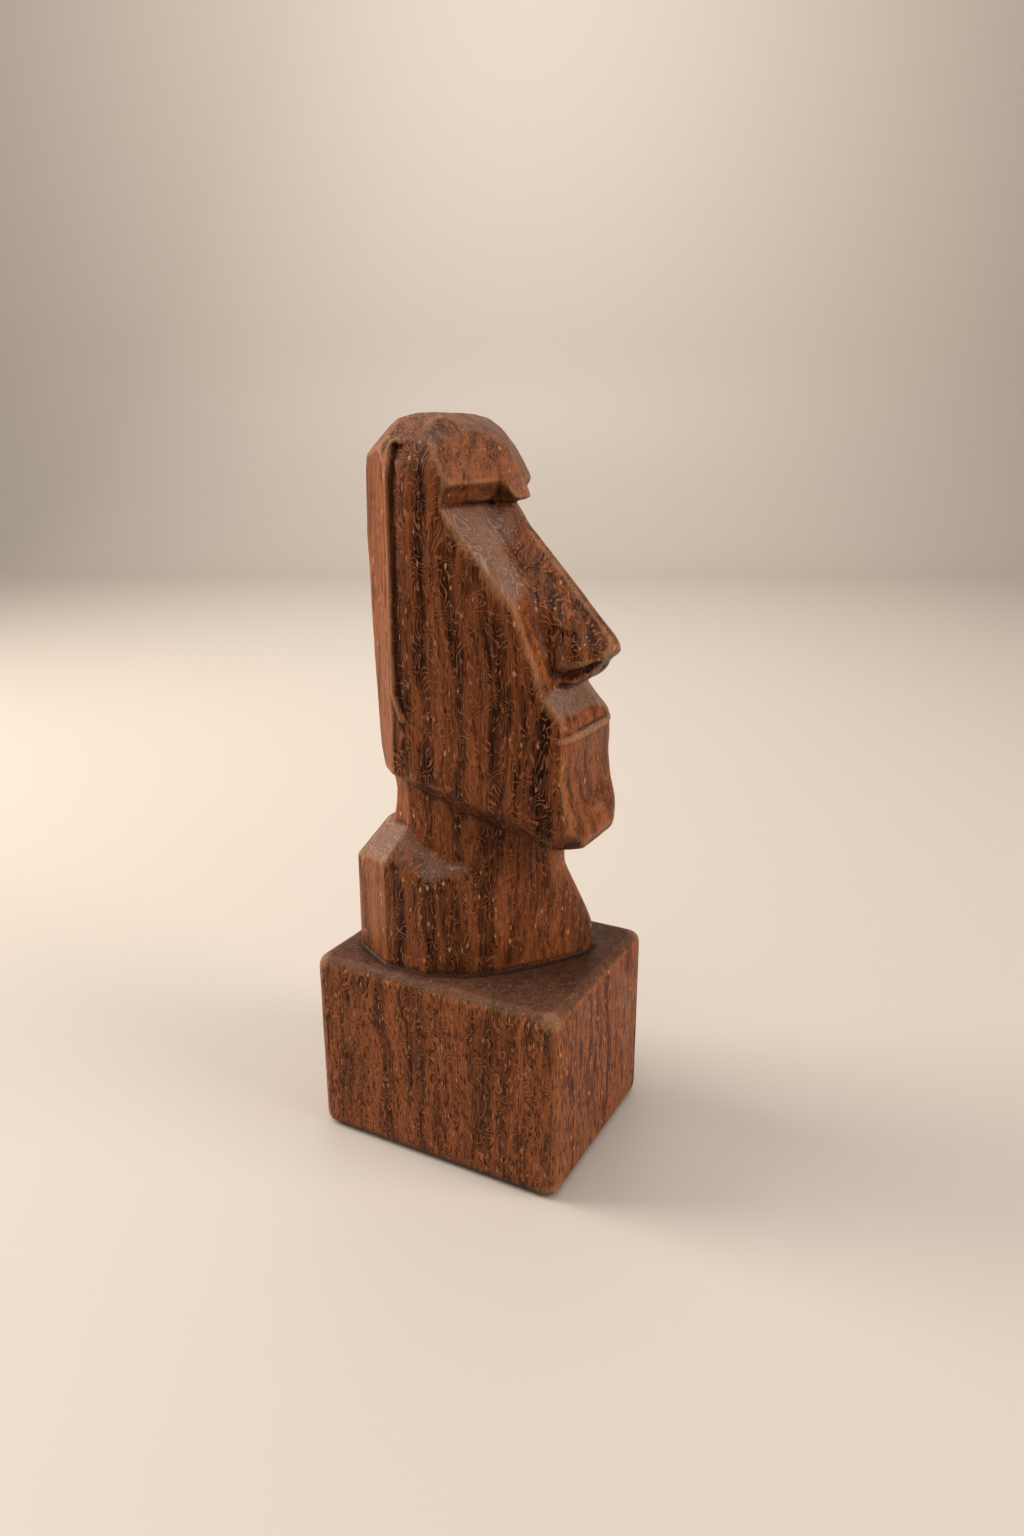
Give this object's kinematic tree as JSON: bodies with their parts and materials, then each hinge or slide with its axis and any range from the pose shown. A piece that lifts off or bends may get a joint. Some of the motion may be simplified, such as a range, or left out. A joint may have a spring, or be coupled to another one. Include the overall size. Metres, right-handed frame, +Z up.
{
  "type": "moai statuette",
  "caption": "Wooden moai: a long-faced head and bust with a heavy brow, long ears and a pointed nose, carved in one piece with a block plinth.",
  "frame": {"origin": "centre of the plinth's flat underside", "axes": "+Z up, -Y the way the face looks, +X to the figure's left"},
  "size_m": [0.0596, 0.0764, 0.1995],
  "materials": {
    "varnished_wood": "varnished, satin"
  },
  "bodies": {
    "root": {"moai_statuette": "varnished_wood"}
  },
  "joints": []
}
